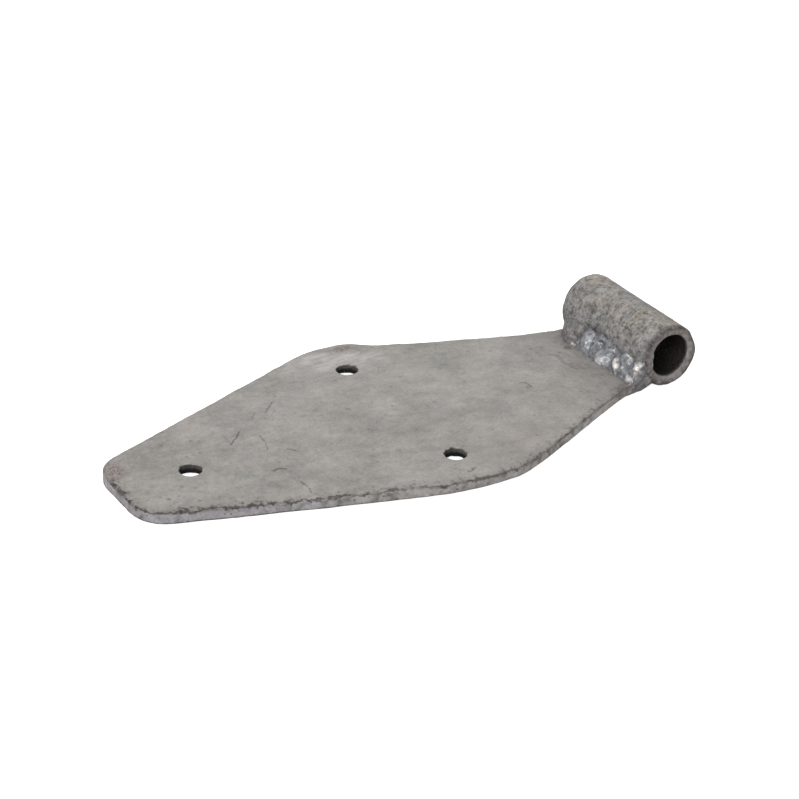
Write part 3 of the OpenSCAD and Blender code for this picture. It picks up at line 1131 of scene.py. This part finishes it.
def plate_material():
    """Dull, slightly warm zinc, mottled and pitted, with a dark crust along its cut edges."""
    s = Shader("plate_zinc")
    green, plum = (0.322, 0.31, 0.288), (0.336, 0.313, 0.296)
    lilac, umber, tan = (0.385, 0.364, 0.383), (0.385, 0.362, 0.346), (0.315, 0.288, 0.27)
    bright, black, soot = (0.6, 0.57, 0.565), (0.06, 0.052, 0.042), (0.17, 0.15, 0.14)
    rust, dark_rust = (0.31, 0.265, 0.24), (0.12, 0.095, 0.08)
    # hole_grey and hole_black are painted shade for the hole walls.
    hole_grey, hole_black = (0.14, 0.13, 0.115), (0.01, 0.01, 0.01)
    x = s.add("ShaderNodeSeparateXYZ", {"Vector": s.place}).outputs["X"]
    edge, front, side = s.mark("edge"), s.mark("front"), s.mark("side")
    hole, pitted, stain = s.mark("hole"), s.mark("pitted"), s.mark("stain")
    small, middle = s.noise(2.6, 3, shift=11), s.noise(6.5, 2, stretch=(0.7, 1, 1), shift=7)
    ragged, coarse = s.noise(1.5, 3, shift=71), s.noise(6, 2, shift=73)

    colour = s.mix(s.span(s.noise(42, 2), 0.36, 0.64), green, plum)
    side_colour = s.span(s.plus(x, s.times(s.noise(9, 2, shift=61), 40)), -190, -140)
    side_colour = s.shade(s.mix(side_colour, lilac, umber), s.span(x, -115, -90, 0.97, 1.18))
    colour = s.mix(side, colour, side_colour)
    colour = s.mix(s.times(s.mark("tan"), 0.8), colour, tan)
    fine, cloud = s.noise(1.1, 3, shift=5), s.noise(20, 2, shift=3)
    colour = s.shade(colour, s.sum((0.55, fine), (0.75, small), (0.5, middle), (0.55, cloud)))

    crust = edge_crust(s, x, edge, front, ragged, coarse)
    lines = marked(s, PLATE_MARKS)
    pits = s.times(flecks(s, 1.9, 0.4, 13), pitted, 0.3)
    # Painted shade along the foot of the cut wall, strongest towards the tip.
    wall_foot = s.plus(edge, s.times(s.minus(ragged, 0.5), 1.6))
    wall_foot = s.span(wall_foot, 0.3 - THICKNESS, 1.1 - THICKNESS, 1, 0)
    wall_patches = s.times(
        side,
        s.span(s.noise(4.2, 4, shift=31), 0.46, 0.68),
        s.span(x, -215, -165, 0.22, 0.5),
        s.span(x, -62, -44, 1, 0.5),
    )
    hole_chips = s.plus(s.mark("hole_gap"), s.times(s.minus(ragged, 0.5), 3.2))
    loss = s.plus(
        s.times(vein(s, 15, 0.007, 21, 0.12), 0.2),
        s.times(flecks(s, 4.4, 0.24, 3), 0.24),
        pits,
        wall_patches,
        s.times(flecks(s, 2.0, 0.45, 23), side, 0.6),
        lines,
        edge_border(s, x, edge, front, side, coarse),
        s.times(wall_foot, s.span(x, -225, -120, 0.7, 0.22)),
        s.times(s.span(hole_chips, 0.0, 0.45, 1, 0), 0.45),
        # Painted shade on the plate near the weld and its toe.
        s.times(s.mark("near_weld"), 0.2),
    )
    colour = s.shade(colour, s.minus(1, s.math("MINIMUM", loss, 0.8)))

    streaks = s.span(s.noise(2.4, 3, stretch=(0.3, 1, 1), shift=7), 0.3, 0.7)
    colour = s.mix(s.times(s.mark("smear"), streaks, 0.75), colour, bright)
    colour = s.mix(crust, colour, black)
    colour = s.mix(s.times(stain, 0.6), colour, rust)
    specks = s.span(s.noise(0.8, 4, shift=93), 0.44, 0.6, 0, 0.8)
    colour = s.mix(s.times(stain, specks), colour, dark_rust)
    burn = s.span(s.noise(2.4, 4, shift=79, warp=0.5), 0.36, 0.6, 0.2, 0.9)
    colour = s.mix(s.times(s.mark("burnt"), burn), colour, soot)
    # Painted shade down the hole walls: dark grey at the top, near-black at the foot.
    wall = s.shade(s.mix(s.span(hole, 0.1, 0.7), hole_grey, hole_black), s.sum((2.0, ragged)))
    colour = s.mix(s.span(hole, 0.0, 0.04), colour, wall)
    roughness = s.span(small, 0.3, 0.7, 0.5, 0.66)
    lumps = s.noise(1.9, 4, shift=15)
    heights = [(lumps, 0.3), (middle, 0.8), (crust, -0.5), (lines, -0.4), (pits, -0.5)]
    return s.finish(colour, 0.3, roughness, heights)


# Creases and dark flecks on the tube: (darkness, width, places).
TUBE_MARKS = [
    (0.55, 0.6, [(-11.1, -3, 9.3), (-11.5, -9.2, 8.9), (-11.4, -16.3, 8.9)]),
    (0.5, 0.7, [(-5, -19.5, 13.6)]),
    (0.4, 0.6, [(-14.3, -8.4, 2.5), (-13.8, -12.3, 4.4)]),
    (0.4, 0.9, [(-13.9, -16.7, 4.1)]),
    (0.4, 0.8, [(-13.8, -6.6, 4.5)]),
    (0.4, 0.5, [(-12.6, -0.9, 7.2), (-13.2, -2.8, 5.9)]),
    (0.5, 0.7, [(-7.7, 0.5, 12.3)]),
    (0.5, 0.5, [(-3, -11.2, 14.2), (-1.9, -17.7, 14.4), (-1.1, -21.1, 14.5)]),
    (0.4, 0.8, [(-11.3, 25, 9)]),
    (0.4, 0.5, [(-10.8, -20.7, 9.7), (-9, -27.2, 11.4)]),
]


def tube_material():
    """Mottled zinc with brown on top, raised patches, dark creases, painted shade by the weld and a
    bore painted near-black as painted shade.
    """
    s = Shader("tube_zinc")
    grey, brown, pale = (0.272, 0.262, 0.256), (0.3, 0.268, 0.235), (0.46, 0.455, 0.46)
    ring_inside, ring_outside = (0.34, 0.3, 0.285), (0.24, 0.21, 0.196)
    # black is painted shade for the bore.
    ring_pale, ring_dark, black = (0.42, 0.38, 0.37), (0.12, 0.1, 0.09), (0.03, 0.026, 0.022)
    height = s.add("ShaderNodeSeparateXYZ", {"Vector": s.place}).outputs["Z"]
    radius = s.vector("LENGTH", s.vector("MULTIPLY", s.place, (1, 0, 1)))
    end = s.mark("end")
    grain, mottle = s.noise(1.2, 3, shift=5), s.noise(2.8, 4, shift=2)
    patch = s.noise(7.5, 2, shift=17)

    upward = s.times(s.span(height, 2, 14), s.span(s.noise(9, 2), 0.36, 0.56))
    colour = s.mix(upward, grey, brown)
    colour = s.shade(colour, s.sum((1.8, grain), (1.7, mottle), (1.0, patch)))
    zinc = s.times(s.mark("raised"), s.span(mottle, 0.42, 0.6), 0.2)
    zinc = s.math("MAXIMUM", zinc, s.times(s.mark("patch"), 0.6))
    colour = s.mix(zinc, colour, pale)
    ring = s.mix(s.span(radius, BORE_R + 1, BORE_R + 3), ring_inside, ring_outside)
    colour = s.mix(s.times(end, 0.8), colour, ring)

    dark = s.times(vein(s, 5, 0.014, 33, 0.2), 0.4)
    lines = marked(s, TUBE_MARKS)
    loss = s.plus(
        dark,
        s.times(flecks(s, 2.8, 0.3, 8), 0.4),
        lines,
        # Painted shade along the groove by the weld.
        s.times(s.mark("seam"), 0.4),
        s.times(s.mark("outer_edge"), 0.7),
        s.times(end, 0.12),
    )
    colour = s.shade(colour, s.minus(1, s.math("MINIMUM", loss, 0.8)))
    pale_spots = s.span(s.noise(2.2, 3, shift=41), 0.48, 0.6)
    colour = s.mix(s.times(end, pale_spots, 0.5), colour, ring_pale)
    dark_spots = s.span(s.noise(1.8, 3, shift=43), 0.5, 0.6)
    colour = s.mix(s.times(end, dark_spots, 0.55), colour, ring_dark)
    # Painted shade: the bore is painted near-black.
    colour = s.mix(s.mark("bore"), colour, black)
    roughness = s.span(mottle, 0.3, 0.7, 0.4, 0.6)
    heights = [(s.noise(1.3, 4, shift=15), 0.55), (mottle, 0.7), (lines, -0.5), (dark, -0.4)]
    return s.finish(colour, 0.4, roughness, heights)


def weld_material():
    """Shiny bluish weld metal, brown where it is burnt, with painted highlights on its toes and
    painted shade in its creases.
    """
    s = Shader("weld_zinc")
    blue, brown = (0.30, 0.305, 0.325), (0.25, 0.236, 0.234)
    # bright is the near-white colour of the painted highlights.
    pale, bright = (0.42, 0.43, 0.465), (0.86, 0.8, 0.77)
    mottle, grain = s.noise(2.6, 4, shift=2, warp=0.5), s.noise(1.0, 3, shift=5)
    colour = s.mix(s.mark("brown"), blue, brown)
    colour = s.mix(s.times(s.mark("pale"), 0.8), colour, pale)
    colour = s.shade(colour, s.sum((1.5, mottle), (1.3, grain)))
    # Painted shade in the creases and painted highlight on the ridges, by the cavity mark.
    colour = s.shade(colour, s.span(s.mark("cavity"), -0.4, 0.3, 1.25, 0.5))
    colour = s.shade(colour, s.minus(1, s.times(flecks(s, 3.2, 0.25, 8), 0.4)))
    # Painted highlights: the bright mark, broken up by noise, lifts the colour nearly to white.
    shine = s.span(s.noise(1.6, 3, shift=21), 0.36, 0.56, 0.45, 1)
    colour = s.mix(s.times(s.mark("bright"), shine), colour, bright)
    roughness = s.span(mottle, 0.3, 0.7, 0.28, 0.5)
    return s.finish(colour, 0.5, roughness, [(s.noise(1.3, 4, shift=15), 0.4)])


# ---------------------------------------------------------------- floor, light and camera

def for_camera(shader, seen, felt):
    """Shows one surface to the camera, and lets another light the part."""
    path = shader.add("ShaderNodeLightPath").outputs["Is Camera Ray"]
    inputs = {0: path, 1: felt.outputs[0], 2: seen.outputs[0]}
    return shader.add("ShaderNodeMixShader", inputs).outputs[0]


def white_floor():
    """A plain pale floor that the camera sees as white, and that lights the part softly."""
    side, gap = 6.0, 0.7
    bpy.ops.mesh.primitive_plane_add(size=side, location=(0, 0, (BOTTOM - gap) * MM))
    floor = bpy.context.object
    floor.name = "floor"
    s = Shader("floor_white")
    matt = s.add("ShaderNodeBsdfDiffuse", {"Color": (0.6, 0.6, 0.6, 1)})
    glow = s.add("ShaderNodeEmission", {"Color": (1, 1, 1, 1), "Strength": 0.9})
    lit = s.add("ShaderNodeAddShader", {0: matt.outputs[0], 1: glow.outputs[0]})
    s.add("ShaderNodeOutputMaterial", {"Surface": for_camera(s, lit, matt)})
    floor.data.materials.append(s.owner)


def area_light(name, direction, distance, size, power):
    """A soft square light that faces the part. direction is (azimuth, elevation) in degrees."""
    azimuth, elevation = (math.radians(angle) for angle in direction)
    away = Vector((
        -math.sin(azimuth) * math.cos(elevation),
        -math.cos(azimuth) * math.cos(elevation),
        math.sin(elevation),
    ))
    light = bpy.data.lights.new(name, "AREA")
    light.energy = power
    light.size = size
    lamp = bpy.data.objects.new(name, light)
    lamp.location = LOOK_AT + away * distance
    lamp.rotation_euler = (-away).to_track_quat("-Z", "Y").to_euler()
    bpy.context.scene.collection.objects.link(lamp)


def studio():
    """White surroundings that are brighter overhead, with a soft light from each side."""
    s = Shader("white_studio", "worlds")
    direction = s.add("ShaderNodeTexCoord").outputs["Generated"]
    upward = s.add("ShaderNodeSeparateXYZ", {"Vector": direction}).outputs["Z"]
    sky = s.add("ShaderNodeBackground", {"Strength": s.span(upward, -0.1, 1, 0.55, 0.8)})
    white = s.add("ShaderNodeBackground", {"Color": (1, 1, 1, 1), "Strength": 1.0})
    sky.inputs["Color"].default_value = (1, 1, 1, 1)
    s.add("ShaderNodeOutputWorld", {"Surface": for_camera(s, white, sky)})
    bpy.context.scene.world = s.owner
    bpy.context.scene.view_settings.view_transform = "Standard"
    area_light("right", (-138, 40), 1.5, 0.9, 2.5)
    area_light("left", (58, 27), 1.2, 0.5, 6.5)


# The camera looks at a point on the plate's top. Its heading, its angle down and its roll are
# in degrees, its distance is in metres and its lens is in millimetres.
LOOK_AT = Vector((-116.38, 9.48, TOP)) * MM
HEADING, DOWN, ROLL = 32.531, 28.311, 1.1
DISTANCE, LENS = 1.0045, 103.825


def add_camera():
    """A long lens from the front left, high enough to see the plate's top."""
    heading, down = math.radians(HEADING), math.radians(DOWN)
    forward = Vector((
        math.sin(heading) * math.cos(down),
        math.cos(heading) * math.cos(down),
        -math.sin(down),
    ))
    camera = bpy.data.cameras.new("camera")
    camera.lens = LENS
    camera.clip_end = 20
    eye = bpy.data.objects.new("camera", camera)
    eye.location = LOOK_AT - forward * DISTANCE
    turn = forward.to_track_quat("-Z", "Y").to_matrix()
    eye.rotation_euler = (turn @ Matrix.Rotation(math.radians(ROLL), 3, "Z")).to_euler()
    bpy.context.scene.collection.objects.link(eye)
    bpy.context.scene.camera = eye


# ---------------------------------------------------------------- build

def build():
    """Makes every piece and gives it its material."""
    plate = strap_plate()
    tube = knuckle_tube()
    welds = [
        top_weld(),
        underside_weld(),
        end_weld(-1, "front_end_weld_dabs", "front_end_weld"),
        end_weld(1, "back_end_weld_dabs", "back_end_weld"),
    ]
    plate.data.materials.append(plate_material())
    tube.data.materials.append(tube_material())
    weld_zinc = weld_material()
    for weld in welds:
        weld.data.materials.append(weld_zinc)


build()
white_floor()
studio()
add_camera()
